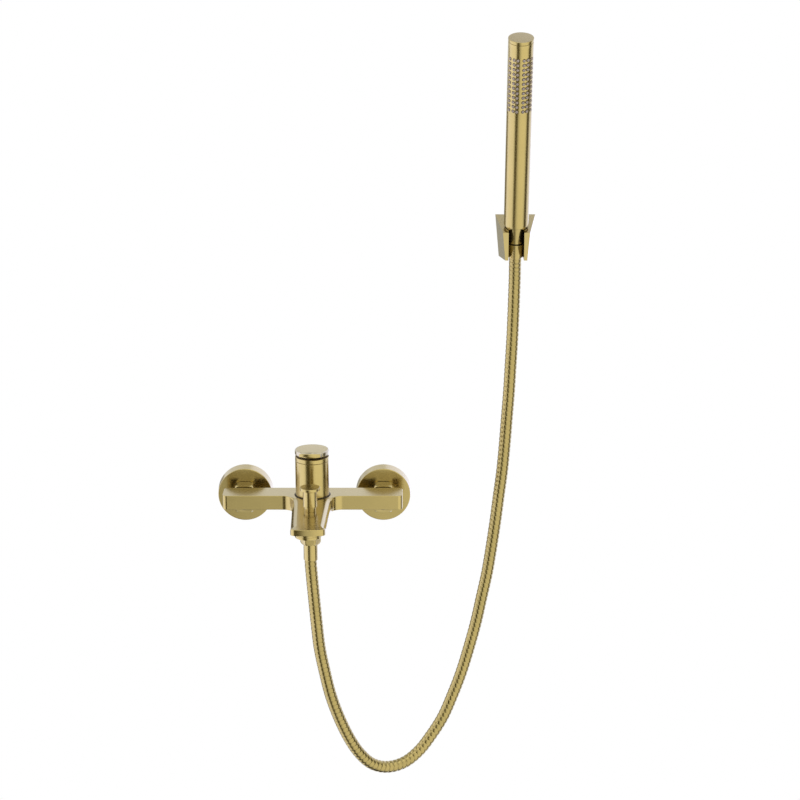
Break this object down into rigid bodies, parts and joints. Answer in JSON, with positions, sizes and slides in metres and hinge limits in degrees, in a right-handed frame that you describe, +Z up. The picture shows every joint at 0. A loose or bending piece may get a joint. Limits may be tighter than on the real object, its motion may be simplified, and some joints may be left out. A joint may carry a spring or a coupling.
{
  "type": "wall mounted bath faucet",
  "caption": "Wall mounted bath and shower mixer in satin gold with a flat lever, a bath spout, a pull diverter, a metal hose and a stick hand shower in a wall holder.",
  "frame": {"origin": "on the finished wall, midway between the two inlet axes and at their height", "axes": "+Z up, +X to the user's right along the wall, +Y into the wall"},
  "size_m": [0.341, 0.2, 0.8071],
  "materials": {
    "satin_gold": "satin brushed PVD gold on brass",
    "hose_gold": "gold coated interlocked steel strip",
    "steel": "bright stainless steel",
    "silicone": "pale grey silicone",
    "black_rubber": "black EPDM",
    "white_plastic": "white acetal",
    "ceramic": "ground alumina ceramic"
  },
  "bodies": {
    "root": {"wall_flange_left": "satin_gold", "wall_flange_right": "satin_gold", "s_union_left": "satin_gold", "s_union_right": "satin_gold", "union_nut_left": "satin_gold", "union_nut_right": "satin_gold", "inlet_strainers": "black_rubber", "inlet_check_valves": "white_plastic", "mixer_body": "satin_gold", "tower_sleeve": "satin_gold", "sleeve_ring": "satin_gold", "cartridge_base": "white_plastic", "cartridge_seals": "black_rubber", "fixed_disc": "ceramic", "cartridge_housing": "white_plastic", "cartridge_nut": "satin_gold", "diverter_gland": "satin_gold", "gland_seal": "black_rubber", "diverter_spring": "steel", "aerator_housing": "satin_gold", "aerator_insert": "white_plastic", "aerator_washer": "black_rubber", "hose_check_valve": "white_plastic", "hose_washer": "black_rubber", "hose_nut": "satin_gold", "hose_tail_lower": "satin_gold", "ferrule_lower": "satin_gold", "hose": "hose_gold", "holder_bracket": "satin_gold", "holder_wall_plate": "steel", "holder_screws": "steel", "wall_plugs": "white_plastic", "holder_grub_screw": "steel"},
    "swivel": {"stem_guide": "white_plastic", "stem_pin": "steel"},
    "handle_lever": {"cartridge_stem": "steel", "handle": "satin_gold", "handle_grub_screw": "steel"},
    "disc_slide": {"disc_carrier": "white_plastic", "moving_disc": "ceramic"},
    "diverter": {"diverter_rod": "steel", "diverter_piston": "satin_gold", "piston_seal": "black_rubber", "diverter_knob": "satin_gold"},
    "hose_end": {"ferrule_upper": "satin_gold", "hose_tail_upper": "satin_gold"},
    "hand_shower": {"cone_nut": "satin_gold", "handset_washer": "black_rubber", "handset_inlet": "satin_gold", "flow_limiter": "white_plastic", "handset_inner_tube": "white_plastic", "handset_tube": "satin_gold", "spray_carrier": "white_plastic", "nozzle_mat": "silicone", "handset_cap": "satin_gold", "cap_seal": "black_rubber"}
  },
  "joints": [
    {"name": "handle_turn", "type": "hinge", "parent": "root", "child": "swivel", "pos_m": [0, -0.0545, 0.0401], "axis": [0, 0, 1], "range_deg": [-45, 45]},
    {"name": "handle_lift", "type": "hinge", "parent": "swivel", "child": "handle_lever", "pos_m": [0, -0.0545, 0.0401], "axis": [-1, 0, 0], "range_deg": [0, 20]},
    {"name": "disc_travel", "type": "slide", "parent": "swivel", "child": "disc_slide", "axis": [0, -1, 0], "range_m": [0, 0.005]},
    {"name": "diverter_pull", "type": "slide", "parent": "root", "child": "diverter", "axis": [0, 0, 1], "range_m": [0, 0.008], "stiffness_N_per_m": 60, "springref_m": -0.004, "deforming": ["diverter_spring"]},
    {"name": "hand_shower_lift", "type": "slide", "parent": "root", "child": "hose_end", "axis": [0, -0.3007, 0.9537], "range_m": [0, 0.06]},
    {"name": "hand_shower_turn", "type": "hinge", "parent": "hose_end", "child": "hand_shower", "pos_m": [0.215, -0.025, 0.2983], "axis": [0, -0.3007, 0.9537], "range_deg": [-90, 90]}
  ],
  "couplings": [
    {"joint": "disc_travel", "follows": "handle_lift", "m_per_rad": 0.01401}
  ]
}
